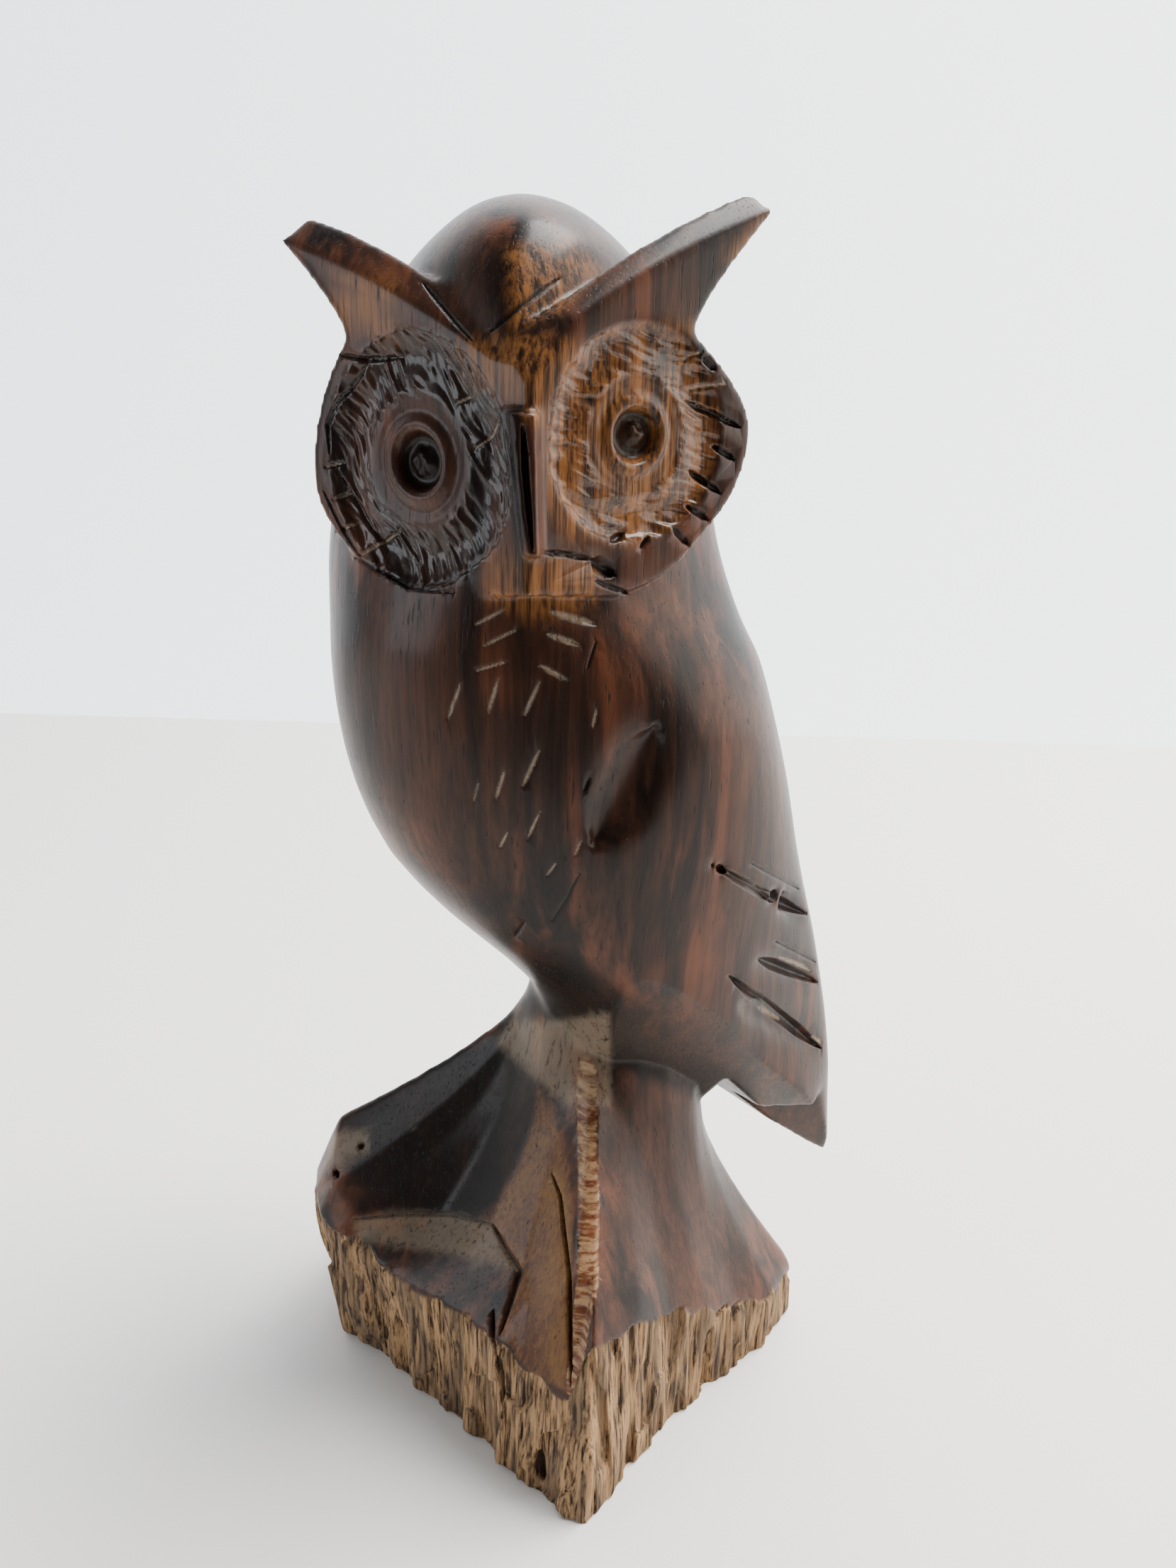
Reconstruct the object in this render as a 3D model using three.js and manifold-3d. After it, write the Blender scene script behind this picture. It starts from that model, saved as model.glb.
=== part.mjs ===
// A hardwood owl carved with its rough base from one log, in millimetres, +Z up.
// The origin is on the table, under the middle of the carving. The face looks towards -Y.

import * as THREE from 'three';
import { mergeVertices } from 'three/addons/utils/BufferGeometryUtils.js';
import Module from 'manifold-3d';

const wasm = await Module();
wasm.setup();

// Head: two face plates meet at the beak line and turn away from it.
const BEAK_LINE = new THREE.Vector3(-9.5, -41, 0);
const PLATE_YAW = 34;
const PLATE_HEART = new THREE.Vector2(14, 203);
const PLATE_TAPER = [[0, 1], [3.6, 1], [9, 0.97], [15, 0.92], [26, 0.8], [38, 0.6]];
const BROW_BEVEL = 3.6;
const TUFT_ROOT = [20, 221];
const TUFT_THICKNESS = 15;
const PLATES = [
  {
    side: -1,
    eye: { centre: [23, 203.2], size: 1.0, disc: 20.3 },
    rim: [
      [38.2, 222], [44.2, 212.1], [46.9, 201], [44.9, 193.1], [37, 186], [25.5, 182.2], [14.5, 182.6],
    ],
    underTuft: [39.8, 226.8],
    tip: [53, 237.1],
    browSwell: [31, 232.5],
    browRoot: [7, 219.5],
    band: { tip: [-4.4, 3.8], root: [-1.2, 2.9] },
    chin: 184,
  },
  {
    side: 1,
    eye: { centre: [20.5, 208.4], size: 0.9, disc: 17 },
    rim: [
      [31, 224.4], [40.3, 216], [43.9, 208.9], [41.6, 199.5], [35.2, 192], [27.2, 185.6], [17.5, 182.8],
    ],
    underTuft: [33.9, 231.2],
    tip: [46.3, 243.2],
    browSwell: [24, 235.8],
    browRoot: [3.5, 222.8],
    band: { tip: [-2.9, 3.0], root: [-0.8, 2.2] },
    chin: 184,
  },
];
// Beak, as pairs for its top and its bottom.
const BEAK = {
  height: [212, 190.5], middle: [-10.3, -8.7], front: [-42.8, -43.4], root: -34,
  ridge: [3.6, 1.8], wide: [9, 6.5],
};

// Eye disc carved as rings: distance from the eye's middle, depth below the plate.
const DISC_RINGS = [
  [1.00, 0.2], [0.92, 0.9], [0.76, 1.2], [0.60, 1.1], [0.47, 0.8], [0.39, 1.3],
];
const EYE_RINGS = [[7.1, 0.7], [6.1, 0.1], [5.0, 0.5], [4.2, 2.7], [2.7, 3.0], [1.4, 2.2]];
const CLEAR = 24;

// Body and head sections from the tail tip up to the crown:
// height, left, right, front, back, widest line, roundness of the front at its left and right.
const BODY = [
  [42.6, 60.0, 60.0, 13.0, 13.0, 13, 1.6, 1.6],
  [46, 54.8, 60.5, 9.0, 17.0, 13, 1.8, 1.6],
  [52, 47.0, 60.2, 3.5, 20.0, 13, 1.9, 1.5],
  [60, 35.0, 59.4, -3.5, 23.0, 12, 2.0, 1.4],
  [68, 20.0, 58.6, -9.8, 26.0, 10, 2.1, 1.3],
  [76, 5.0, 57.4, -15.0, 28.0, 9, 2.2, 1.25],
  [86, -7.0, 55.4, -20.5, 31.0, 7, 2.3, 1.2],
  [96, -10.5, 53.0, -24.5, 33.5, 5, 2.3, 1.2],
  [106, -19.0, 50.4, -28.0, 35.5, 3, 2.2, 1.25],
  [116, -30.2, 47.4, -31.0, 36.5, 1, 2.1, 1.4],
  [128, -39.6, 44.0, -33.5, 37.0, -2, 2.1, 1.6],
  [142, -45.4, 40.8, -35.5, 37.0, -3, 2.1, 1.8],
  [156, -48.0, 36.8, -36.5, 36.5, -4, 2.0, 1.9],
  [167, -48.8, 33.2, -37.0, 35.5, -4, 1.9, 1.8],
  [173, -48.7, 29.8, -37.0, 35.0, -4, 1.8, 1.7],
  [182, -48.8, 26.0, -36.5, 34.0, -4, 1.6, 1.5],
  [192, -47.8, 23.0, -36.0, 33.5, -4, 1.5, 1.5],
  [204, -45.5, 21.5, -37.0, 32.5, -3, 1.3, 1.3],
  [216, -43.0, 18.5, -38.5, 31.0, -3, 1.25, 1.25],
  [226, -38.6, 14.0, -36.0, 28.5, -3, 1.35, 1.35],
  [234, -33.0, 8.6, -32.0, 24.5, -3, 1.6, 1.6],
  [240, -26.4, 2.2, -27.0, 18.0, -4, 1.8, 1.8],
  [244, -20.0, -4.7, -17.5, 9.0, -5, 2, 2],
  [246, -12.5, -12.5, -5.0, -5.0, -5, 2, 2],
];
const BODY_AROUND = 50;
const ROWS_PER_SECTION = 2;

// Flat cuts under the wings and the tail: a point on each, the way it faces, its width and height.
const FLAT_CUTS = [
  { at: [8.8, -32, 114.3], faces: [0.1, -0.87, -0.48], size: [120, 120] },
  { at: [-4, 33, 112], faces: [-0.26, 0.84, -0.48], size: [120, 120] },
  { at: [48, 8.6, 53], faces: [0.036, -0.941, -0.335], size: [60, 23] },
  { at: [53, 11, 46.4], faces: [-0.5, -0.52, -0.69], size: [60, 60] },
];
const CUT_DEPTH = 60;

// The flat chisel cut that the two brows run down to, above the beak.
const BROW_CUT = { at: [-10.8, -39.9, 218], faces: [0, -0.9, 0.43], size: [30, 20] };

// Gouges on the near wing: the hollow that parts it from the chest, then three feather edges.
const GOUGES = [
  { from: [16, -32, 168], to: [0, -36, 134], faces: [0.25, -0.96, 0], wide: 6.5, deep: 1.1 },
  { from: [22, -27.4, 134.5], to: [49, 0, 110], faces: [0.68, -0.72, 0], wide: 2.4, deep: 1.5 },
  { from: [35, -15, 107.5], to: [53, 3, 94.5], faces: [0.68, -0.72, 0], wide: 2.2, deep: 1.4 },
  { from: [31, -17.5, 100], to: [56, 5.5, 75], faces: [0.68, -0.72, 0], wide: 2.4, deep: 1.5 },
];

// Base, bearing by bearing around the middle of the waist: reach of the foot, reach and height of
// the top of the split wood, reach and height of the shelf, hollow, reach and height of the waist.
const BASE_MIDDLE = [5, 0];
const BASE = [
  [175, 62.0, 65.9, 38, 59.5, 54, 1.30, 16.5, 90],
  [180, 59.5, 64.5, 37, 59.3, 49, 1.45, 16.5, 90],
  [185, 57.0, 62.5, 35, 59.0, 43, 1.55, 16.5, 90],
  [190, 52.5, 59.5, 32, 55.0, 38, 1.80, 16.5, 89],
  [200, 46.0, 50.5, 31, 37.0, 40, 1.60, 16.0, 88],
  [225, 41.3, 42.2, 31, 31.0, 46, 1.40, 15.5, 87],
  [245, 43.0, 43.6, 31, 33.5, 43, 1.30, 15.0, 86],
  [258, 48.6, 46.5, 28, 41.5, 43, 1.20, 15.0, 85],
  [265, 52.1, 49.3, 28, 41.0, 51, 1.05, 15.0, 84],
  [270, 53.5, 49.5, 40, 40.0, 52, 1.10, 15.0, 84],
  [285, 39.2, 38.8, 36, 37.0, 41, 1.35, 15.5, 83],
  [300, 33.6, 33.2, 31, 31.8, 35, 1.55, 17.0, 81],
  [320, 32.8, 32.8, 25, 31.8, 29, 1.70, 19.0, 78],
  [340, 36.2, 35.4, 18, 34.5, 21, 1.70, 22.0, 73],
  [355, 42.7, 43.0, 14, 41.5, 17, 1.55, 23.0, 67],
  [10, 49.5, 50.0, 12, 48.5, 15, 1.25, 24.0, 59],
  [40, 47.0, 46.0, 16, 43.5, 22, 1.40, 22.0, 60],
  [90, 53.5, 51.0, 22, 47.0, 29, 1.50, 18.0, 68],
  [130, 56.0, 55.0, 28, 50.0, 34, 1.70, 17.0, 78],
  [155, 62.0, 62.5, 33, 56.0, 38, 1.90, 16.5, 84],
];
const BASE_LEVELS = 10;
const NECK = { climb: 12, narrow: 0.8 };

const radians = THREE.MathUtils.degToRad;

function toSolid(geometry) {
  const bare = geometry.clone();
  bare.deleteAttribute('normal');
  bare.deleteAttribute('uv');
  const merged = mergeVertices(bare, 1e-3);
  const corners = merged.index.array;
  const kept = [];
  for (let i = 0; i < corners.length; i += 3) {
    const [a, b, c] = [corners[i], corners[i + 1], corners[i + 2]];
    if (a !== b && b !== c && c !== a) kept.push(a, b, c);
  }
  const solid = solidOf(merged.attributes.position.array, kept);
  return solid.volume() > 0 ? solid : solidOf(merged.attributes.position.array, kept.reverse());
}

function solidOf(spots, corners) {
  return new wasm.Manifold(new wasm.Mesh({
    numProp: 3,
    vertProperties: new Float32Array(spots),
    triVerts: new Uint32Array(corners),
  }));
}

function toGeometry(solid) {
  const mesh = solid.getMesh();
  const geometry = new THREE.BufferGeometry();
  geometry.setAttribute('position', new THREE.BufferAttribute(mesh.vertProperties, 3));
  geometry.setIndex(new THREE.BufferAttribute(mesh.triVerts, 1));
  return geometry;
}

function reshape(geometry, place) {
  const spots = geometry.attributes.position;
  for (let i = 0; i < spots.count; i += 1) {
    const spot = place(new THREE.Vector3().fromBufferAttribute(spots, i));
    spots.setXYZ(i, spot.x, spot.y, spot.z);
  }
  return geometry;
}

function sectionPoint(turn, [left, right, front, back, side, leftEdge, rightEdge]) {
  const middle = (left + right) / 2;
  const across = Math.cos(turn);
  const along = Math.sin(turn);
  const power = 2 / (along > 0 ? 2 : across < 0 ? leftEdge : rightEdge);
  const x = middle + Math.sign(across) * Math.abs(across) ** power * (right - left) / 2;
  const reach = along < 0 ? side - front : back - side;
  return [x, side + Math.sign(along) * Math.abs(along) ** power * reach];
}

function bodySolid() {
  const last = BODY.length - 1;
  const between = new THREE.CubicInterpolant(BODY.map((row, i) => i), BODY.flat(), 8);
  const ball = new THREE.SphereGeometry(1, BODY_AROUND, last * ROWS_PER_SECTION);
  return toSolid(reshape(ball.rotateX(Math.PI / 2), (p) => {
    const rise = 0.5 + Math.asin(THREE.MathUtils.clamp(p.z, -1, 1)) / Math.PI;
    const [height, ...section] = between.evaluate(rise * last);
    return new THREE.Vector3(...sectionPoint(Math.atan2(p.y, p.x), section), height);
  }));
}

// A point of a face plate: along it from the beak line, its height, and how far behind its face.
function onPlate(side, along, height, behind) {
  const yaw = radians(PLATE_YAW);
  return new THREE.Vector3(
    BEAK_LINE.x + side * (along * Math.cos(yaw) - behind * Math.sin(yaw)),
    BEAK_LINE.y + along * Math.sin(yaw) + behind * Math.cos(yaw),
    height,
  );
}

function plateOutline(plate) {
  const outline = new THREE.Shape();
  outline.moveTo(...plate.browRoot);
  outline.quadraticCurveTo(...plate.browSwell, ...plate.tip);
  outline.quadraticCurveTo(...plate.underTuft, ...plate.rim[0]);
  outline.splineThru(plate.rim.slice(1).map((spot) => new THREE.Vector2(...spot)));
  outline.lineTo(0, plate.chin);
  outline.lineTo(0, plate.browRoot[1] - 1);
  return outline;
}

function plateSolid(plate) {
  const last = PLATE_TAPER.length - 1;
  const slab = new THREE.ExtrudeGeometry(plateOutline(plate), {
    depth: 1, steps: last, bevelEnabled: false, curveSegments: 10,
  });
  const [root, swell, tip] = [plate.browRoot, plate.browSwell, plate.tip]
    .map((spot) => new THREE.Vector2(...spot));
  const brow = new THREE.QuadraticBezierCurve(root, swell, tip);
  return toSolid(reshape(slab, (p) => {
    const [behind, scale] = PLATE_TAPER[Math.round(p.z * last)];
    const onBrow = Math.abs(p.y - heightOn(brow, p.x)) < 0.05;
    const lift = onBrow ? Math.min(behind / BROW_BEVEL, 1) : 0;
    const share = THREE.MathUtils.clamp((p.x - root.x) / (tip.x - root.x), 0, 1);
    const spot = new THREE.Vector2(
      p.x + THREE.MathUtils.lerp(plate.band.root[0], plate.band.tip[0], share) * lift,
      p.y + THREE.MathUtils.lerp(plate.band.root[1], plate.band.tip[1], share) * lift,
    );
    if (p.y > plate.rim[0][1] - 2) {
      const thinning = Math.max(behind - BROW_BEVEL, 0) / TUFT_THICKNESS;
      spot.lerp(new THREE.Vector2(...TUFT_ROOT), Math.min(thinning, 1));
    }
    spot.sub(PLATE_HEART).multiplyScalar(scale).add(PLATE_HEART);
    return onPlate(plate.side, spot.x, spot.y, behind);
  }));
}

// The height of a curve at a distance along the plate, found by halving.
function heightOn(curve, along) {
  let low = 0;
  let high = 1;
  for (let i = 0; i < 24; i += 1) {
    const middle = (low + high) / 2;
    if (curve.getPoint(middle).x < along) low = middle;
    else high = middle;
  }
  return curve.getPoint(low).y;
}

// What is cut away to leave the rings of an eye disc and the eye itself.
function discCutter(plate) {
  const { centre, size, disc } = plate.eye;
  const rings = DISC_RINGS.map(([share, depth]) => [share * disc, depth]);
  const eye = EYE_RINGS.map(([reach, depth]) => [reach * size, depth * size]);
  const profile = [[0, CLEAR], [disc, CLEAR], ...rings.map(([r, d]) => [r, -d]),
    ...eye.map(([r, d]) => [r, -d]), [0, -eye[eye.length - 1][1]]];
  const turned = new THREE.LatheGeometry(profile.map(([r, h]) => new THREE.Vector2(r, h)), 30);
  const spot = onPlate(plate.side, centre[0], centre[1], 0);
  turned.rotateZ(Math.PI + plate.side * radians(PLATE_YAW));
  turned.translate(spot.x, spot.y, spot.z);
  return toSolid(turned);
}

function beakSolid() {
  return toSolid(reshape(new THREE.BoxGeometry(1, 1, 1), (p) => {
    const end = p.z > 0 ? 0 : 1;
    const front = p.y < 0;
    const width = front ? BEAK.ridge[end] : BEAK.wide[end];
    return new THREE.Vector3(
      BEAK.middle[end] + p.x * width, front ? BEAK.front[end] : BEAK.root, BEAK.height[end],
    );
  }));
}

function bearingRow(bearing) {
  const rows = BASE.map((row) => [row[0] < BASE[0][0] ? row[0] + 360 : row[0], ...row.slice(1)]);
  rows.push([BASE[0][0] + 360, ...BASE[0].slice(1)]);
  const turned = bearing < BASE[0][0] ? bearing + 360 : bearing;
  const after = rows.findIndex((row) => row[0] > turned + 1e-6);
  const [one, two] = [rows[after - 1], rows[after]];
  const share = (turned - one[0]) / (two[0] - one[0]);
  return { one, two, share };
}

function ringPoint(row, reach, height) {
  const turn = radians(row[0]);
  return new THREE.Vector3(
    BASE_MIDDLE[0] + reach * Math.cos(turn), BASE_MIDDLE[1] + reach * Math.sin(turn), height,
  );
}

function basePoint(bearing, level) {
  const { one, two, share } = bearingRow(bearing);
  const between = (reach, height) => ringPoint(one, reach(one), height(one))
    .lerp(ringPoint(two, reach(two), height(two)), share);
  const waist = between((row) => row[7], (row) => row[8]);
  if (level === 0) return between((row) => row[1], () => 0);
  if (level === 1) return between((row) => row[2], (row) => row[3]);
  const shelf = between((row) => row[4], (row) => row[5]);
  if (level < BASE_LEVELS) {
    const climb = (level - 2) / (BASE_LEVELS - 3);
    const hollow = THREE.MathUtils.lerp(one[6], two[6], share);
    const draw = 1 - (1 - climb) ** hollow;
    const spot = shelf.clone().lerp(waist, draw);
    spot.z = THREE.MathUtils.lerp(shelf.z, waist.z, climb);
    return spot;
  }
  waist.x = THREE.MathUtils.lerp(BASE_MIDDLE[0], waist.x, NECK.narrow);
  waist.y = THREE.MathUtils.lerp(BASE_MIDDLE[1], waist.y, NECK.narrow);
  waist.z += NECK.climb;
  return waist;
}

function baseSolid() {
  const drum = new THREE.CylinderGeometry(1, 1, 1, 72, BASE_LEVELS).rotateX(Math.PI / 2);
  const neckHeight = (basePoint(0, BASE_LEVELS).z + basePoint(180, BASE_LEVELS).z) / 2;
  return toSolid(reshape(drum, (p) => {
    const level = Math.round((p.z + 0.5) * BASE_LEVELS);
    const bearing = (THREE.MathUtils.radToDeg(Math.atan2(p.y, p.x)) + 360) % 360;
    if (Math.hypot(p.x, p.y) > 0.5) return basePoint((Math.round(bearing / 5) * 5) % 360, level);
    return new THREE.Vector3(...BASE_MIDDLE, level === 0 ? 0 : neckHeight);
  }));
}

// A block that lies against one flat cut, on the side that is cut away.
function cutBlock({ at, faces, size }) {
  const block = new THREE.BoxGeometry(size[0], size[1], CUT_DEPTH).translate(0, 0, CUT_DEPTH / 2);
  const turn = new THREE.Quaternion().setFromUnitVectors(
    new THREE.Vector3(0, 0, 1), new THREE.Vector3(...faces).normalize(),
  );
  return toSolid(block.applyQuaternion(turn).translate(...at));
}

// An egg-shaped cutter that lies along the surface from one end of a gouge to the other.
function gougeCutter({ from, to, faces, wide, deep }) {
  const [start, end] = [new THREE.Vector3(...from), new THREE.Vector3(...to)];
  const along = end.clone().sub(start);
  const across = new THREE.Vector3().crossVectors(new THREE.Vector3(...faces), along).normalize();
  const out = new THREE.Vector3().crossVectors(along, across).normalize();
  const egg = new THREE.SphereGeometry(1, 12, 9);
  egg.applyMatrix4(new THREE.Matrix4().makeBasis(
    across.multiplyScalar(wide), along.clone().multiplyScalar(0.5), out.multiplyScalar(deep),
  ));
  const middle = start.add(end).multiplyScalar(0.5);
  return toSolid(egg.translate(middle.x, middle.y, middle.z));
}

function owlSolid() {
  let owl = bodySolid();
  for (const cut of FLAT_CUTS) owl = owl.subtract(cutBlock(cut));
  for (const gouge of GOUGES) owl = owl.subtract(gougeCutter(gouge));
  for (const plate of PLATES) owl = owl.add(plateSolid(plate));
  for (const plate of PLATES) owl = owl.subtract(discCutter(plate));
  owl = owl.subtract(cutBlock(BROW_CUT)).add(beakSolid());
  return owl.add(baseSolid());
}

const wood = new THREE.MeshStandardMaterial({ color: 0x4a3022, roughness: 0.35, metalness: 0 });
const carving = new THREE.Mesh(toGeometry(owlSolid()), wood);
carving.name = 'owl_carving';

const part = new THREE.Group();
part.add(carving);

export default part;
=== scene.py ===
import itertools
import math
from collections import namedtuple

import bpy
import numpy as np
from mathutils import Matrix, Vector
from mathutils.bvhtree import BVHTree


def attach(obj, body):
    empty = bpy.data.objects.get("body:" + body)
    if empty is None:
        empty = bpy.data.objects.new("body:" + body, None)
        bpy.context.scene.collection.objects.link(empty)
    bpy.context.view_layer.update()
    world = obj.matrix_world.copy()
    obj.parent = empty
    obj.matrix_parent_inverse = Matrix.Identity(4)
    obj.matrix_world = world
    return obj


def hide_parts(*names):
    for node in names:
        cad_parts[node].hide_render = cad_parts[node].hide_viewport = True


# A hardwood owl carved with its rough base from one log. Lengths are in metres, angles in degrees.
MM = 0.001

# Where the photograph was taken from, and its size in pixels.
CAMERA_PLACE = (1 * MM, -229 * MM, 220 * MM)
CAMERA_DOWN = 19.6
CAMERA_ROLL = 1.65
CAMERA_LENS = 27.5
CAMERA_FILM = 36
PHOTO_WIDE, PHOTO_TALL = 1659, 2212

# Head: two face plates meet at the beak line and turn away from it, each with an eye disc.
BEAK_LINE = (-9.5 * MM, -41 * MM)
PLATE_YAW = 34
Disc = namedtuple("Disc", "along height reach ring eye ripple_lean ripple_apart")
DISCS = {
    -1: Disc(23 * MM, 203.2 * MM, 20.3 * MM, 7.2 * MM, 4.6 * MM, -52, 1.15 * MM),
    1: Disc(20.5 * MM, 208.4 * MM, 17 * MM, 6.3 * MM, 3.9 * MM, -12, 1.0 * MM),
}

# Flat chisel cuts under the wings and the tail, each a point on it and the way it faces.
UNDERCUTS = [
    ((8.8 * MM, -32 * MM, 114.3 * MM), (0.1, -0.87, -0.48)),
    ((-4 * MM, 33 * MM, 112 * MM), (-0.26, 0.84, -0.48)),
    ((53 * MM, 11 * MM, 46.4 * MM), (-0.5, -0.52, -0.69)),
]

# Base: the middle of the waist, and the height of the split wood at bearings around it.
BASE_MIDDLE = (5 * MM, 0)
WALL_BEARINGS = [0, 10, 40, 90, 130, 155, 175, 185, 200, 225, 245, 258, 265, 270, 285, 300, 320, 340, 360]
WALL_TOPS = [13, 12, 16, 22, 28, 33, 38, 35, 31, 31, 31, 28, 28, 40, 36, 31, 25, 18, 13]

# Table: where it ends in front, below the camera, and where the wall stands behind it.
TABLE_EDGE = -300 * MM
WALL_PLACE = 490 * MM

# Mesh fineness.
VOXEL = 0.55 * MM
POLISH_PASSES = 110
BASE_PASSES = 40
TUFT_PASSES = 16
TRIANGLES = 190000

# Cuts, each a line of pixels in the photograph, half its width and its depth.
Cut = namedtuple("Cut", "line wide deep")
CHEST_CUTS = [
    Cut([(777, 864), (842, 881)], 0.85 * MM, 0.5 * MM),
    Cut([(772, 895), (818, 910)], 0.75 * MM, 0.45 * MM),
    Cut([(760, 939), (801, 961)], 0.65 * MM, 0.4 * MM),
    Cut([(668, 883), (711, 861)], 0.45 * MM, 0.3 * MM),
    Cut([(682, 912), (731, 888)], 0.45 * MM, 0.3 * MM),
    Cut([(668, 948), (716, 934)], 0.4 * MM, 0.3 * MM),
    Cut([(648, 968), (631, 1016)], 0.5 * MM, 0.35 * MM),
    Cut([(702, 961), (688, 1006)], 0.5 * MM, 0.35 * MM),
    Cut([(762, 961), (738, 1014)], 0.5 * MM, 0.35 * MM),
    Cut([(762, 1057), (737, 1111)], 0.55 * MM, 0.35 * MM),
    Cut([(712, 1087), (699, 1128)], 0.5 * MM, 0.35 * MM),
    Cut([(675, 1104), (668, 1130)], 0.4 * MM, 0.3 * MM),
    Cut([(762, 1145), (744, 1184)], 0.45 * MM, 0.3 * MM),
    Cut([(716, 1174), (704, 1198)], 0.4 * MM, 0.3 * MM),
    Cut([(785, 1217), (770, 1238)], 0.4 * MM, 0.3 * MM),
    Cut([(842, 1002), (836, 1028)], 0.4 * MM, 0.3 * MM),
    Cut([(820, 1186), (811, 1208)], 0.4 * MM, 0.3 * MM),
]
CHEST_NICKS = [
    Cut([(833, 1096), (825, 1116)], 0.45 * MM, 0.5 * MM),
    Cut([(842, 902), (828, 946)], 0.4 * MM, 0.35 * MM),
    Cut([(726, 1322), (740, 1302)], 0.6 * MM, 0.3 * MM),
]
DISC_TICKS = [
    Cut([(442, 663), (484, 653)], 0.45 * MM, 0.7 * MM),
    Cut([(453, 712), (495, 695)], 0.45 * MM, 0.7 * MM),
    Cut([(473, 751), (509, 737)], 0.45 * MM, 0.7 * MM),
    Cut([(502, 788), (564, 749)], 0.5 * MM, 0.7 * MM),
    Cut([(667, 636), (694, 614), (706, 584)], 0.35 * MM, 0.3 * MM),
    Cut([(642, 570), (664, 559)], 0.4 * MM, 0.35 * MM),
    Cut([(966, 507), (1005, 490)], 0.4 * MM, 0.5 * MM),
    Cut([(971, 549), (1035, 540)], 0.4 * MM, 0.4 * MM),
]
DISC_WEDGES = [
    Cut([(968, 566), (1045, 603)], 0.8 * MM, 1.1 * MM),
    Cut([(1005, 628), (1037, 648)], 0.8 * MM, 1.0 * MM),
    Cut([(972, 664), (1017, 695)], 0.9 * MM, 1.1 * MM),
    Cut([(968, 712), (1000, 733)], 0.9 * MM, 1.0 * MM),
    Cut([(950, 744), (972, 768)], 0.9 * MM, 1.0 * MM),
    Cut([(862, 764), (882, 752)], 0.9 * MM, 1.0 * MM),
    Cut([(904, 776), (914, 757)], 0.7 * MM, 0.9 * MM),
    Cut([(992, 505), (1010, 522)], 0.9 * MM, 0.8 * MM),
]
DISC_EDGES = [
    Cut([(521, 507), (507, 533), (493, 550), (476, 569), (462, 600), (467, 642)], 0.55 * MM, 0.6 * MM),
    Cut([(480, 500), (520, 507), (564, 504)], 0.6 * MM, 0.7 * MM),
    Cut([(483, 672), (512, 730), (540, 768)], 0.6 * MM, 0.4 * MM),
    Cut([(455, 690), (480, 742), (510, 790)], 0.5 * MM, 0.4 * MM),
]
FACE_GROOVES = [
    Cut([(737, 597), (742, 680), (751, 779)], 0.75 * MM, 1.4 * MM),
    Cut([(716, 586), (726, 690), (736, 771)], 0.5 * MM, 0.6 * MM),
    Cut([(768, 780), (800, 782), (836, 790)], 0.8 * MM, 0.9 * MM),
    Cut([(836, 790), (868, 812)], 1.8 * MM, 1.6 * MM),
    Cut([(840, 819), (885, 838)], 0.7 * MM, 0.8 * MM),
    Cut([(500, 786), (578, 828), (642, 836)], 0.7 * MM, 0.4 * MM),
    Cut([(596, 398), (640, 452), (668, 482)], 0.6 * MM, 0.5 * MM),
    Cut([(690, 470), (724, 440), (790, 392)], 0.6 * MM, 0.4 * MM),
]
FEATHER_EDGES = [
    Cut([(1010, 1223), (1099, 1273), (1152, 1295)], 1.3 * MM, 1.2 * MM),
    Cut([(1060, 1218), (1149, 1266)], 0.7 * MM, 0.4 * MM),
    Cut([(1070, 1353), (1142, 1380), (1164, 1392)], 1.4 * MM, 1.3 * MM),
    Cut([(1094, 1328), (1162, 1363)], 0.7 * MM, 0.5 * MM),
    Cut([(1030, 1378), (1060, 1402), (1104, 1437), (1169, 1487)], 1.5 * MM, 1.4 * MM),
]
FEATHER_CHIPS = [
    Cut([(1099, 1350), (1130, 1362), (1159, 1378)], 0.8 * MM, 0.3 * MM),
    Cut([(1070, 1422), (1104, 1442)], 0.8 * MM, 0.3 * MM),
    Cut([(1146, 1462), (1160, 1472)], 0.8 * MM, 0.3 * MM),
]
WING_HOLLOWS = [
    Cut([(925, 1030), (880, 1120), (840, 1190)], 6.5 * MM, 1.5 * MM),
]
BASE_CRACKS = [
    Cut([(778, 1655), (790, 1688), (794, 1730), (802, 1796), (805, 1956)], 0.8 * MM, 1.3 * MM),
    Cut([(696, 1847), (694, 1892), (703, 1938), (710, 1998)], 0.8 * MM, 1.6 * MM),
    Cut([(695, 1727), (712, 1760), (733, 1793), (705, 1883)], 0.9 * MM, 1.0 * MM),
    Cut([(756, 2050), (760, 2104)], 1.6 * MM, 2.2 * MM),
    Cut([(499, 1720), (568, 1713), (634, 1713), (695, 1727)], 0.6 * MM, 0.5 * MM),
    Cut([(505, 1616), (513, 1617)], 1.1 * MM, 1.5 * MM),
    Cut([(470, 1652), (477, 1660)], 1.1 * MM, 1.5 * MM),
    Cut([(538, 1884), (541, 1898)], 1.0 * MM, 1.6 * MM),
    Cut([(818, 1232), (800, 1268), (779, 1300)], 0.5 * MM, 0.4 * MM),
]
RIDGE_BAND = Cut([(828, 1491), (826, 1625), (832, 1700), (830, 1800), (818, 1900), (808, 1980)], 2.5 * MM, 0)

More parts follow.
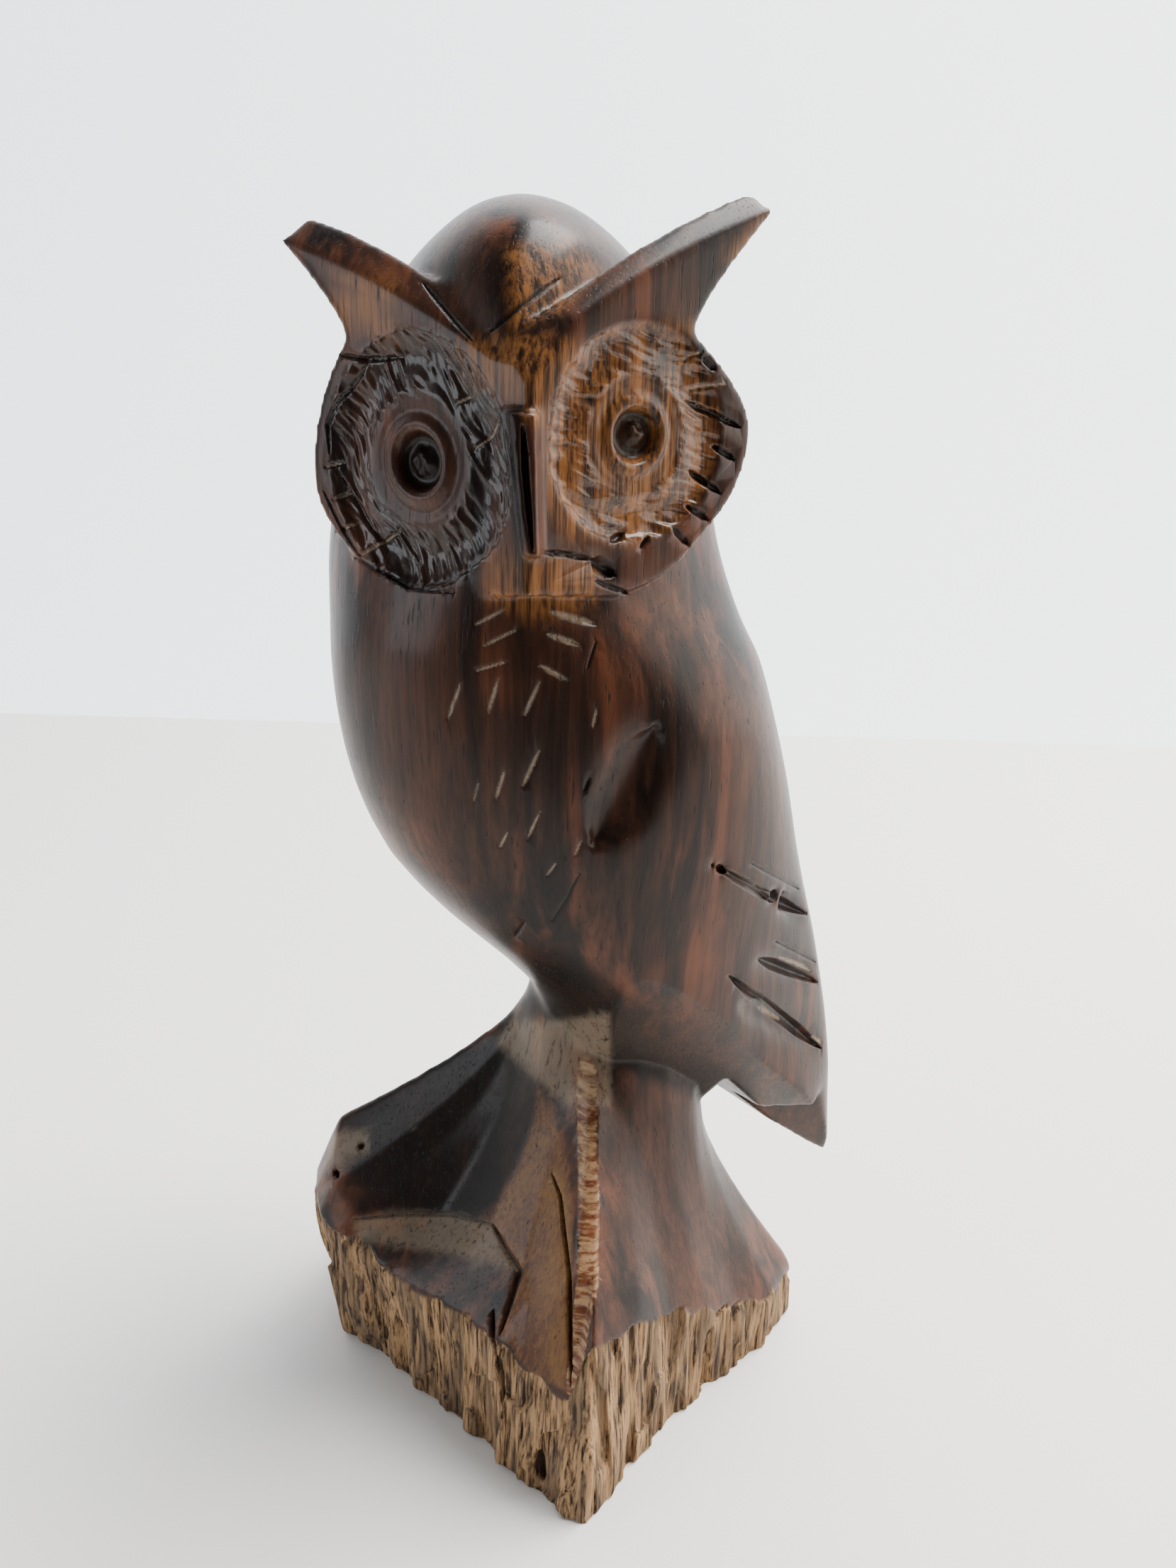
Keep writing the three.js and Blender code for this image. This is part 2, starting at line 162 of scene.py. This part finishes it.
# Patches of another colour, and patches of painted shade, each an outline of pixels in the photograph.
GOLD_PATCHES = [
    [(713, 350), (800, 330), (850, 380), (790, 440), (720, 470)],
    [(640, 480), (700, 470), (820, 480), (827, 500), (766, 587), (700, 560), (640, 545)],
    [(734, 541), (779, 541), (775, 597), (738, 597)],
    [(770, 600), (830, 500), (966, 470), (975, 560), (960, 700), (900, 770), (800, 760), (766, 700)],
    [(690, 780), (850, 790), (840, 850), (760, 880), (690, 850)],
    [(918, 455), (980, 455), (980, 470), (918, 470)],
    [(470, 380), (560, 400), (560, 490), (470, 450)],
    [(1025, 360), (1090, 290), (1098, 320), (1040, 380)],
]
OCHRE_PATCH = [
    (757, 1532), (755, 1580), (730, 1649), (697, 1706), (695, 1727), (712, 1760), (733, 1793),
    (751, 1775), (705, 1883), (726, 1904), (749, 1936), (796, 1960), (805, 1900), (806, 1700), (790, 1600),
]
# Dark patches: the first darkens the base's near-black left facet, the second is painted shade under the wing
# and the tail, and the third darkens the beak's left side.
DARK_WOOD_AND_SHADE_PATCHES = [
    [(500, 1712), (480, 1580), (640, 1480), (750, 1470), (757, 1532), (755, 1580), (730, 1649), (697, 1706)],
    [(700, 1390), (780, 1330), (880, 1400), (960, 1440), (1100, 1540), (1000, 1560), (860, 1500), (760, 1430)],
    [(700, 575), (735, 575), (752, 785), (720, 740)],
]
TAN_PATCHES = [
    [(455, 1625), (470, 1600), (515, 1592), (522, 1622), (480, 1650)],
    [(508, 1750), (499, 1720), (568, 1713), (634, 1713), (695, 1727), (733, 1793), (637, 1769), (568, 1759)],
    [(790, 1440), (860, 1430), (862, 1560), (800, 1560), (700, 1470), (720, 1440)],
]


def only(piece):
    bpy.ops.object.select_all(action="DESELECT")
    piece.select_set(True)
    bpy.context.view_layer.objects.active = piece


def apply(piece, kind, **settings):
    only(piece)
    modifier = piece.modifiers.new(kind.lower(), kind)
    for name, value in settings.items():
        setattr(modifier, name, value)
    bpy.ops.object.modifier_apply(modifier=modifier.name)


def spots(piece):
    places = np.empty(len(piece.data.vertices) * 3)
    piece.data.vertices.foreach_get("co", places)
    return places.reshape(-1, 3)


def facings(piece):
    normals = np.empty(len(piece.data.vertices) * 3)
    piece.data.vertices.foreach_get("normal", normals)
    return normals.reshape(-1, 3)


def move_to(piece, places):
    piece.data.vertices.foreach_set("co", places.ravel())
    piece.data.update()


def smoothstep(value, low, high):
    share = np.clip((value - low) / (high - low), 0, 1)
    return share * share * (3 - 2 * share)


def noise(points, seed):
    """Smooth noise from -1 to 1, one wave or so for each unit of length."""
    cell = np.floor(points).astype(np.int64)
    part = points - cell
    ease = part * part * (3 - 2 * part)
    total = np.zeros(len(points))
    for corner in itertools.product((0, 1), repeat=3):
        x, y, z = (cell + corner).T
        mixed = (x * 73856093) ^ (y * 19349663) ^ (z * 83492791) ^ (seed * 2654435761)
        mixed = (mixed ^ (mixed >> 13)) * 1274126177 & 0x7FFFFFFF
        level = ((mixed ^ (mixed >> 16)) & 0xFFFF) / 0xFFFF
        total += level * np.prod(np.where(corner, ease, 1 - ease), axis=1)
    return total * 2 - 1


def camera_turn():
    pitch = Matrix.Rotation(math.radians(90 - CAMERA_DOWN), 3, "X")
    return pitch @ Matrix.Rotation(math.radians(CAMERA_ROLL), 3, "Z")


def seen_at(tree, across, down):
    """The point of the carving that a pixel of the photograph shows."""
    focal = CAMERA_LENS / CAMERA_FILM * PHOTO_TALL
    ray = camera_turn() @ Vector((across - PHOTO_WIDE / 2, PHOTO_TALL / 2 - down, -focal))
    return tree.ray_cast(Vector(CAMERA_PLACE), ray.normalized())[0]


def seen_line(tree, line):
    """The points of the carving along a line of pixels."""
    found = []
    for (x0, y0), (x1, y1) in zip(line, line[1:]):
        steps = max(2, int(math.hypot(x1 - x0, y1 - y0) / 12))
        for step in range(steps + 1):
            share = step / steps
            place = seen_at(tree, x0 + (x1 - x0) * share, y0 + (y1 - y0) * share)
            if place is not None:
                found.append(place)
    return np.array(found)


def photo_pixels(places):
    """Where the photograph shows each spot."""
    focal = CAMERA_LENS / CAMERA_FILM * PHOTO_TALL
    turned = (places - np.array(CAMERA_PLACE)) @ np.array(camera_turn())
    across = PHOTO_WIDE / 2 - focal * turned[:, 0] / turned[:, 2]
    down = PHOTO_TALL / 2 + focal * turned[:, 1] / turned[:, 2]
    return across, down


def along_line(places, line, wide, fade=0.25):
    """How near each spot is to a line on the surface: 1 on it, 0 at its sides and ends."""
    near = np.zeros(len(places))
    low = line.min(axis=0) - wide * 1.2
    high = line.max(axis=0) + wide * 1.2
    box = np.flatnonzero(np.all((places > low) & (places < high), axis=1))
    lengths = np.linalg.norm(np.diff(line, axis=0), axis=1)
    starts = np.concatenate([[0], np.cumsum(lengths)])
    best = np.full(len(box), np.inf)
    at = np.zeros(len(box))
    for start, end, length, before in zip(line, line[1:], lengths, starts):
        if length < 1e-6:
            continue
        step = (end - start) / length
        run = np.clip((places[box] - start) @ step, 0, length)
        gap = np.linalg.norm(places[box] - start - run[:, None] * step, axis=1)
        closer = gap < best
        best[closer] = gap[closer]
        at[closer] = (before + run[closer]) / starts[-1]
    ends = np.minimum(at, 1 - at)
    width = wide * np.sqrt(np.clip(ends / fade, 0.04, 1))
    near[box] = np.clip(1 - best / width, 0, 1)
    return near


def deepest(places, cuts, lines):
    """How deep a set of cuts goes at each spot, and how near their middle it is."""
    depth = np.zeros(len(places))
    near = np.zeros(len(places))
    for cut, line in zip(cuts, lines):
        share = along_line(places, line, cut.wide)
        depth = np.maximum(depth, cut.deep * share)
        near = np.maximum(near, share)
    return depth, near


def within(places, outline, soft):
    """1 for spots shown inside an outline of pixels, 0 outside, with a soft edge."""
    across, down = photo_pixels(places)
    inside = np.zeros(len(places), dtype=bool)
    gap = np.full(len(places), np.inf)
    for (x0, y0), (x1, y1) in zip(outline, outline[1:] + outline[:1]):
        crossing = (y0 > down) != (y1 > down)
        tilt = (x1 - x0) / (y1 - y0) if y1 != y0 else 0
        inside ^= crossing & (across < x0 + tilt * (down - y0))
        length = math.hypot(x1 - x0, y1 - y0)
        run = np.clip(((across - x0) * (x1 - x0) + (down - y0) * (y1 - y0)) / length ** 2, 0, 1)
        gap = np.minimum(gap, np.hypot(across - x0 - run * (x1 - x0), down - y0 - run * (y1 - y0)))
    return smoothstep(np.where(inside, gap, -gap), -soft, soft)


def facing_camera(places, normals):
    sight = np.array(CAMERA_PLACE) - places
    sight /= np.linalg.norm(sight, axis=1)[:, None]
    return smoothstep(np.sum(sight * normals, axis=1), 0.02, 0.2)


def on_plate(places, side):
    """Distance along a face plate from the beak line, height, and depth behind its face."""
    turn = math.radians(PLATE_YAW)
    x = side * (places[:, 0] - BEAK_LINE[0])
    y = places[:, 1] - BEAK_LINE[1]
    along = x * math.cos(turn) + y * math.sin(turn)
    behind = -x * math.sin(turn) + y * math.cos(turn)
    return along, places[:, 2], behind


def on_disc(places, side):
    """Distance from an eye's middle and the bearing round it, and the share that is on its disc."""
    along, height, behind = on_plate(places, side)
    disc = DISCS[side]
    x = side * (along - disc.along)
    z = height - disc.height
    front = smoothstep(-behind, -6 * MM, -4.5 * MM) * smoothstep(along, 1 * MM, 3 * MM)
    return np.hypot(x, z), np.arctan2(z, x), front


def face_share(places):
    share = np.zeros(len(places))
    for side in (-1, 1):
        along, height, behind = on_plate(places, side)
        here = smoothstep(along, -3 * MM, 0) * smoothstep(-behind, -9 * MM, -5 * MM)
        share = np.maximum(share, here * smoothstep(height, 180 * MM, 183 * MM))
    return share


def base_share(places):
    waist = 82 * MM - 0.73 * places[:, 0]
    return smoothstep(waist - places[:, 2], -1 * MM, 3 * MM)


def base_bearing(places):
    turn = np.arctan2(places[:, 1] - BASE_MIDDLE[1], places[:, 0] - BASE_MIDDLE[0])
    return np.degrees(turn) % 360


def wall_share(places):
    """1 on the split sides of the base, 0 above them and on its underside."""
    top = np.interp(base_bearing(places), WALL_BEARINGS, WALL_TOPS) * MM
    ragged = 1.6 * MM * noise(places / np.array([3, 3, 9]) / MM, 11)
    return smoothstep(top + ragged - places[:, 2], -0.4 * MM, 0.8 * MM) * base_share(places)


def crisp_share(places):
    """1 on the flat undercuts and their edges, which keep their form when the body is polished."""
    share = np.zeros(len(places))
    for at, faces in UNDERCUTS:
        way = np.array(faces) / np.linalg.norm(faces)
        gap = np.abs((places - np.array(at)) @ way)
        share = np.maximum(share, smoothstep(-gap, -3.5 * MM, -0.8 * MM))
    return share * smoothstep(-places[:, 2], -135 * MM, -125 * MM)


def ridge_share(places):
    """1 along the two sharp ridges of the base."""
    bearing = base_bearing(places)
    share = np.zeros(len(places))
    for ridge in (184, 270):
        share = np.maximum(share, smoothstep(-np.abs(bearing - ridge), -6, -2))
    return share * base_share(places)


def weigh(piece, name, weights):
    group = piece.vertex_groups.get(name) or piece.vertex_groups.new(name=name)
    levels = np.round(weights * 20).astype(int)
    for level in range(21):
        members = np.flatnonzero(levels == level).tolist()
        if members:
            group.add(members, level / 20, "REPLACE")


def refine(piece, wanted):
    """Split the faces that lie wholly on the wanted spots."""
    loops = np.empty(len(piece.data.loops), dtype=np.int64)
    piece.data.loops.foreach_get("vertex_index", loops)
    starts = np.empty(len(piece.data.polygons), dtype=np.int64)
    piece.data.polygons.foreach_get("loop_start", starts)
    chosen = np.minimum.reduceat(wanted[loops].astype(np.int8), starts).astype(bool)
    only(piece)
    bpy.ops.object.mode_set(mode="EDIT")
    bpy.ops.mesh.select_all(action="DESELECT")
    bpy.ops.mesh.select_mode(type="FACE")
    bpy.ops.object.mode_set(mode="OBJECT")
    piece.data.polygons.foreach_set("select", chosen)
    bpy.ops.object.mode_set(mode="EDIT")
    bpy.ops.mesh.subdivide(number_cuts=1)
    bpy.ops.object.mode_set(mode="OBJECT")


def polished_form(node):
    """A fine copy of the CAD solid, its body smoothed and its flat cuts left crisp."""
    piece = bpy.data.objects.new("carved_owl", node.data.copy())
    bpy.context.scene.collection.objects.link(piece)
    only(piece)
    bpy.ops.object.mode_set(mode="EDIT")
    bpy.ops.mesh.select_all(action="SELECT")
    bpy.ops.mesh.remove_doubles(threshold=1e-6)
    bpy.ops.object.mode_set(mode="OBJECT")
    apply(piece, "REMESH", mode="VOXEL", voxel_size=VOXEL, use_smooth_shade=True)
    places = spots(piece)
    base = base_share(places)
    weigh(piece, "polished", (1 - face_share(places)) * (1 - base) * (1 - crisp_share(places)))
    weigh(piece, "base", base * (1 - ridge_share(places)) * smoothstep(places[:, 2], 4 * MM, 14 * MM))
    apply(piece, "SMOOTH", factor=0.5, iterations=POLISH_PASSES, vertex_group="polished")
    apply(piece, "SMOOTH", factor=0.5, iterations=BASE_PASSES, vertex_group="base")
    weigh(piece, "tufts", smoothstep(places[:, 2], 218 * MM, 224 * MM) * face_share(places))
    apply(piece, "SMOOTH", factor=0.5, iterations=TUFT_PASSES, vertex_group="tufts")
    apply(piece, "SMOOTH", factor=0.5, iterations=6)
    return piece


def disc_relief(places, side):
    """Depth of the ripples, rings and eye of a disc, and its share of ripples."""
    disc = DISCS[side]
    reach, bearing, front = on_disc(places, side)
    along, height, behind = on_plate(places, side)
    lean = math.radians(disc.ripple_lean)
    x = side * (along - disc.along)
    z = height - disc.height
    run = x * math.cos(lean) + z * math.sin(lean)
    across = -x * math.sin(lean) + z * math.cos(lean)
    wander = noise(np.stack([run / 6, across / 6, x * 0], axis=1) / MM, 3)
    points = np.stack([run / (5 * MM), across / disc.ripple_apart + wander * 1.2, x * 0], axis=1)
    ripples = noise(points, 21 + side) + 0.5 * noise(points * 2.1, 25 + side)
    rippled = smoothstep(reach, disc.ring * 1.35, disc.ring * 1.6)
    rippled *= smoothstep(-reach, -disc.reach * 1.03, -disc.reach * 0.97) * front
    swell = 0.35 * MM * np.sin(reach / (1.9 * MM) + 0.7 * np.sin(bearing * 3))
    bump = smoothstep(-np.hypot(x - side * 0.8 * MM, z), -disc.eye * 0.8, -disc.eye * 0.2)
    rock = noise(np.stack([x, z, x * 0], axis=1) / (1.1 * MM), 8)
    depth = rippled * (0.3 * MM * ripples + swell) - bump * front * (0.5 + 0.5 * rock) * MM
    return depth, rippled


def carve(piece, lines):
    """Cut the fine carving into the polished form, and store its marks in colour attributes, among them
    painted shade in its cuts, its eyes and under the wing.
    """
    places = spots(piece)
    normals = facings(piece)
    seen = facing_camera(places, normals)
    wall = wall_share(places)
    sunk = np.zeros(len(places))
    rippled = {}
    for side in (-1, 1):
        depth, rippled[side] = disc_relief(places, side)
        sunk += depth
    near = {}
    for name, cuts in CUTS.items():
        depth, near[name] = deepest(places, cuts, lines[name])
        sunk += depth if name != "hollows" else cuts[0].deep * smoothstep(near[name], 0, 1)

    outward = np.stack([places[:, 0] - BASE_MIDDLE[0], places[:, 1], places[:, 2] * 0], axis=1)
    outward /= np.linalg.norm(outward, axis=1)[:, None] + 1e-9
    mm = places / MM
    lumps = 1.5 * noise(mm / [5.5, 5.5, 30], 31) + 0.9 * noise(mm / [2.3, 2.3, 16], 32)
    fibres = 0.45 * noise(mm / [1.2, 1.2, 11], 33)
    steps = 1.1 * smoothstep(noise(mm / [4, 4, 13], 34), 0.0, 0.15)
    split = (lumps + fibres - steps - 0.2) * MM * wall * smoothstep(places[:, 2], -1 * MM, 1 * MM)

    ridge = along_line(places, lines["ridge"][0], RIDGE_BAND.wide, 0.05) > 0.15
    ridge = ridge * (1 - wall)
    sunk += ridge * 0.3 * MM * noise(mm / [6, 6, 0.9], 41)

    moved = places - normals * sunk[:, None] + outward * split[:, None]
    moved[:, 2] = np.maximum(moved[:, 2], 0)
    move_to(piece, moved)

    gold = np.zeros(len(places))
    dark_and_shade = np.zeros(len(places))
    pale = np.zeros(len(places))
    for outline in GOLD_PATCHES:
        gold = np.maximum(gold, within(places, outline, 14))
    # Dark patches, the one under the wing and the tail being painted shade.
    for outline in DARK_WOOD_AND_SHADE_PATCHES:
        dark_and_shade = np.maximum(dark_and_shade, within(places, outline, 9))
    for outline in TAN_PATCHES:
        pale = np.maximum(pale, 0.35 * within(places, outline, 6))
    ochre = within(places, OCHRE_PATCH, 5) * (1 - wall)
    gold = np.maximum(gold, ochre)
    gold = np.maximum(gold * seen, rippled[1] * 0.8)
    dark_and_shade = np.maximum(dark_and_shade * seen, rippled[-1] * 0.6)
    # Painted shade: the eye recesses are darkened.
    for side in (-1, 1):
        reach, bearing, front = on_disc(places, side)
        dark_and_shade = np.maximum(dark_and_shade, smoothstep(-reach, -DISCS[side].eye * 1.05, -DISCS[side].eye * 0.9) * front)
    # Painted shade: the cuts, cracks and feather grooves are darkened along their middles.
    for name in ("wedges", "grooves", "cracks", "nicks", "edges"):
        dark_and_shade = np.maximum(dark_and_shade, smoothstep(near[name], 0.1, 0.6))
    dark_and_shade = np.maximum(dark_and_shade, 0.55 * smoothstep(near["feathers"], 0.2, 0.8))
    pale = pale * seen
    for name in ("chest", "ticks", "chips"):
        pale = np.maximum(pale, 0.8 * smoothstep(near[name], 0.45, 0.75))
    gloss = np.maximum(rippled[-1], rippled[1])
    store(piece, "marks", wall, gold, dark_and_shade, pale)
    store(piece, "touches", gloss, ridge, ochre * seen, near["hollows"])


def store(piece, name, *levels):
    marks = piece.data.color_attributes.new(name, "FLOAT_COLOR", "POINT")
    marks.data.foreach_set("color", np.stack(levels, axis=1).astype(np.float32).ravel())


CUTS = {
    "chest": CHEST_CUTS, "nicks": CHEST_NICKS, "ticks": DISC_TICKS, "wedges": DISC_WEDGES,
    "edges": DISC_EDGES, "grooves": FACE_GROOVES, "feathers": FEATHER_EDGES, "chips": FEATHER_CHIPS,
    "hollows": WING_HOLLOWS, "cracks": BASE_CRACKS,
}


def carved_owl(node):
    piece = polished_form(node)
    tree = BVHTree.FromObject(piece, bpy.context.evaluated_depsgraph_get())
    lines = {name: [seen_line(tree, cut.line) for cut in cuts] for name, cuts in CUTS.items()}
    lines["ridge"] = [seen_line(tree, RIDGE_BAND.line)]
    places = spots(piece)
    wanted = np.zeros(len(places), dtype=bool)
    for side in (-1, 1):
        reach, bearing, front = on_disc(places, side)
        wanted |= (reach < DISCS[side].reach * 1.1) & (front > 0)
    for name, cuts in CUTS.items():
        for cut, line in zip(cuts, lines[name]):
            if cut.wide < 2 * MM:
                wanted |= along_line(places, line, cut.wide + 1.5 * MM, 0.02) > 0
    refine(piece, wanted)
    print("refined", len(piece.data.vertices))
    carve(piece, lines)
    faces = sum(len(face.vertices) - 2 for face in piece.data.polygons)
    apply(piece, "DECIMATE", ratio=min(1, TRIANGLES / faces))
    print("decimated", faces, len(piece.data.polygons))
    return piece


class Wire:
    """A shader socket on which Python's operators add Math nodes."""

    def __init__(self, shading, socket):
        self.shading = shading
        self.socket = socket

    def sum(self, operation, first, second):
        return self.shading.add("ShaderNodeMath", {"operation": operation}, {0: first, 1: second})[0]

    def __add__(self, other):
        return self.sum("ADD", self, other)

    def __sub__(self, other):
        return self.sum("SUBTRACT", self, other)

    def __rsub__(self, other):
        return self.sum("SUBTRACT", other, self)

    def __mul__(self, other):
        return self.sum("MULTIPLY", self, other)

    __radd__ = __add__
    __rmul__ = __mul__

    def __truediv__(self, other):
        return self.sum("DIVIDE", self, other)


class Shading:
    """A material's nodes, added from its output's side by what the surface needs."""

    def __init__(self, name):
        self.material = bpy.data.materials.new(name)
        self.material.use_nodes = True
        self.tree = self.material.node_tree
        self.shader = self.tree.nodes["Principled BSDF"]
        self.object_space = self.add("ShaderNodeTexCoord", {}, {})[3]

    def add(self, kind, settings, sockets):
        """A new node's outputs, in order."""
        node = self.tree.nodes.new(kind)
        for name, value in settings.items():
            setattr(node, name, value)
        for name, value in sockets.items():
            self.feed(node.inputs[name], value)
        return [Wire(self, socket) for socket in node.outputs]

    def feed(self, socket, value):
        if isinstance(value, Wire):
            self.tree.links.new(value.socket, socket)
        else:
            socket.default_value = value

    def shift(self, value, low, high):
        """0 below a low value, 1 above a high one."""
        settings = {"interpolation_type": "SMOOTHSTEP"}
        return self.add("ShaderNodeMapRange", settings, {0: value, 1: low, 2: high, 3: 0, 4: 1})[0]

    def tint(self, share, first, second):
        """A colour between two."""
        settings = {"data_type": "RGBA", "clamp_factor": True}
        return self.add("ShaderNodeMix", settings, {0: share, 6: first, 7: second})[2]

    def waves(self, size, detail=3, roughness=0.55, distortion=0.0, turn=(0, 0, 0)):
        """Noise whose waves have a size along each axis, in millimetres."""
        scale = tuple(1 / (MM * length) for length in size)
        turned = tuple(math.radians(angle) for angle in turn)
        spot = self.add("ShaderNodeMapping", {"vector_type": "TEXTURE"},
                        {"Vector": self.object_space, "Rotation": turned})[0]
        spot = self.add("ShaderNodeMapping", {}, {"Vector": spot, "Scale": scale})[0]
        sockets = {"Vector": spot, "Scale": 1.0, "Detail": detail, "Roughness": roughness,
                   "Distortion": distortion}
        return self.add("ShaderNodeTexNoise", {}, sockets)[0]


BLACK = (0.0035, 0.0022, 0.0018, 1)
CHOCOLATE = (0.014, 0.0065, 0.0042, 1)
BROWN = (0.060, 0.022, 0.0115, 1)
RUSSET = (0.130, 0.042, 0.018, 1)
GOLD = (0.260, 0.105, 0.030, 1)
OCHRE = (0.150, 0.070, 0.020, 1)
TAN = (0.370, 0.225, 0.115, 1)
PALE = (0.380, 0.290, 0.200, 1)
GREY = (0.050, 0.042, 0.036, 1)


def ironwood():
    wood = Shading("polished ironwood")
    rough, gold, dark_and_shade, pale = wood_marks(wood, "marks")
    gloss, ridge, ochre, hollow = wood_marks(wood, "touches")

    streaks = wood.waves((5, 5, 90), 4, 0.6, 0.5)
    bands = wood.waves((18, 18, 140), 2, 0.5, 0.8)
    fibres = wood.waves((0.8, 0.8, 16), 4, 0.65, 0.2)
    pores = wood.waves((0.45, 0.45, 7), 2, 0.5)
    blotches = wood.waves((22, 22, 34), 3, 0.6)

    light = wood.shift(streaks * 0.6 + bands * 0.4, 0.36, 0.64)
    color = wood.tint(light, BLACK, BROWN)
    color = wood.tint(wood.shift(fibres, 0.38, 0.68) * 0.55, color, CHOCOLATE)
    color = wood.tint(wood.shift(streaks * 0.5 + blotches * 0.5, 0.5, 0.66) * 0.6, color, RUSSET)
    golden = wood.tint(wood.shift(fibres * 0.7 + streaks * 0.3, 0.38, 0.62), CHOCOLATE, GOLD)
    color = wood.tint(gold * 0.75, color, golden)
    amber = wood.tint(wood.shift(blotches * 0.6 + fibres * 0.4, 0.38, 0.62), BROWN, OCHRE)
    color = wood.tint(ochre, color, amber)
    copper = wood.waves((5, 5, 1.1), 3, 0.7)
    color = wood.tint(ridge * 0.8, color, wood.tint(wood.shift(copper, 0.4, 0.62), RUSSET, TAN))
    # Painted shade in the cuts, the eye recesses and under the wing, along with the darker wood, tints towards
    # black.
    color = wood.tint(dark_and_shade * 0.85, color, BLACK)
    hollow_pores = wood.shift(pores, 0.62, 0.72)
    color = wood.tint(hollow_pores * (1 - rough) * 0.7, color, BLACK)

    splinters = wood.waves((0.9, 0.9, 14), 5, 0.7, 0.3)
    split_bands = wood.waves((4, 4, 30), 3, 0.6, 0.4)
    bare = wood.tint(wood.shift(splinters, 0.36, 0.6), CHOCOLATE, TAN)
    bare = wood.tint(wood.shift(split_bands, 0.42, 0.62) * 0.55, bare, GREY)
    color = wood.tint(rough * (1 - dark_and_shade * 0.8), color, bare)
    color = wood.tint(pale * wood.shift(splinters, 0.3, 0.5) * 0.85, color, PALE)

    roughness = 0.26 + fibres * 0.16 + hollow_pores * 0.15 + rough * 0.5 + pale * 0.2 - gloss * 0.06
    height = (fibres * 0.08 - hollow_pores * 0.10) * (1 - rough * 0.5) + splinters * (rough + pale * 0.3) * 0.8
    bump = wood.add("ShaderNodeBump", {}, {"Strength": 0.55, "Distance": 0.6 * MM, "Height": height})[0]
    wood.feed(wood.shader.inputs["Base Color"], color)
    wood.feed(wood.shader.inputs["Roughness"], roughness)
    wood.feed(wood.shader.inputs["Normal"], bump)
    wood.feed(wood.shader.inputs["Coat Weight"], (1 - rough) * (1 - dark_and_shade) * 0.05 + gloss * 0.2)
    wood.feed(wood.shader.inputs["Coat Roughness"], 0.12)
    wood.feed(wood.shader.inputs["Specular IOR Level"], 0.16)
    return wood.material


def wood_marks(wood, name):
    """The four levels kept in one of the carving's colour attributes."""
    outputs = wood.add("ShaderNodeAttribute", {"attribute_name": name}, {})
    red, green, blue = wood.add("ShaderNodeSeparateColor", {}, {0: outputs[0]})
    return red, green, blue, outputs[3]


def light(name, place, aim, size, power, color):
    lamp = bpy.data.lights.new(name, "AREA")
    lamp.size = size
    lamp.energy = power
    lamp.color = color
    holder = bpy.data.objects.new(name, lamp)
    holder.location = place
    holder.rotation_euler = (Vector(aim) - Vector(place)).to_track_quat("-Z", "Y").to_euler()
    bpy.context.scene.collection.objects.link(holder)


def studio():
    world = bpy.data.worlds.new("dim room")
    world.use_nodes = True
    background = world.node_tree.nodes["Background"]
    background.inputs["Color"].default_value = (0.93, 0.96, 1.0, 1)
    background.inputs["Strength"].default_value = 0.16
    bpy.context.scene.world = world
    light("ceiling", (0.45, 0.15, 1.1), (0, 0.05, 0.1), 0.6, 30, (1.0, 0.98, 0.95))
    light("left window", (-0.9, -0.35, 0.3), (0, 0, 0.15), 0.45, 4, (0.9, 0.95, 1.0))
    light("right window", (1.1, 0.0, 0.5), (0, 0, 0.15), 0.9, 14, (1.0, 0.95, 0.88))


def sheet(name, size, place, turn, color, glow):
    """A plain flat backdrop."""
    bpy.ops.object.select_all(action="DESELECT")
    bpy.ops.mesh.primitive_plane_add(size=1, location=place, rotation=(math.radians(turn), 0, 0))
    bpy.ops.transform.resize(value=size)
    backdrop = bpy.context.object
    backdrop.name = name
    paint = bpy.data.materials.new(name)
    paint.use_nodes = True
    shader = paint.node_tree.nodes["Principled BSDF"]
    shader.inputs["Base Color"].default_value = color
    shader.inputs["Roughness"].default_value = 0.9
    shader.inputs["Emission Color"].default_value = color
    shader.inputs["Emission Strength"].default_value = glow
    backdrop.data.materials.append(paint)


def room():
    """A pale table that ends below the camera, and a pale wall behind it."""
    depth = WALL_PLACE - TABLE_EDGE
    middle = (WALL_PLACE + TABLE_EDGE) / 2
    sheet("floor", (4, depth, 1), (0, middle, 0), 0, (0.86, 0.84, 0.81, 1), 0)
    sheet("wall", (4, 1, 2), (0, WALL_PLACE, 1), 90, (0.84, 0.88, 0.92, 1), 1.6)


def camera():
    seen = bpy.data.cameras.new("camera")
    seen.sensor_fit = "VERTICAL"
    seen.sensor_height = CAMERA_FILM
    seen.lens = CAMERA_LENS
    seen.clip_start = 0.01
    eye = bpy.data.objects.new("camera", seen)
    eye.matrix_world = Matrix.Translation(CAMERA_PLACE) @ camera_turn().to_4x4()
    bpy.context.scene.collection.objects.link(eye)
    bpy.context.scene.camera = eye


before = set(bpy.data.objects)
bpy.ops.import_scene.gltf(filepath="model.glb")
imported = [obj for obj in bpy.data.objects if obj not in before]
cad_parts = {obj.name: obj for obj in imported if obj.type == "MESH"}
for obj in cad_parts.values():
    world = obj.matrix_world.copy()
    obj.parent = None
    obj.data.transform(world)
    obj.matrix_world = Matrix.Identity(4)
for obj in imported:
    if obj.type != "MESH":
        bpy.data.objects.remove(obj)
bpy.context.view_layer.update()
owl = carved_owl(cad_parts["owl_carving"])
owl.data.materials.clear()
owl.data.materials.append(ironwood())
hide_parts("owl_carving")
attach(owl, "root")
studio()
room()
camera()
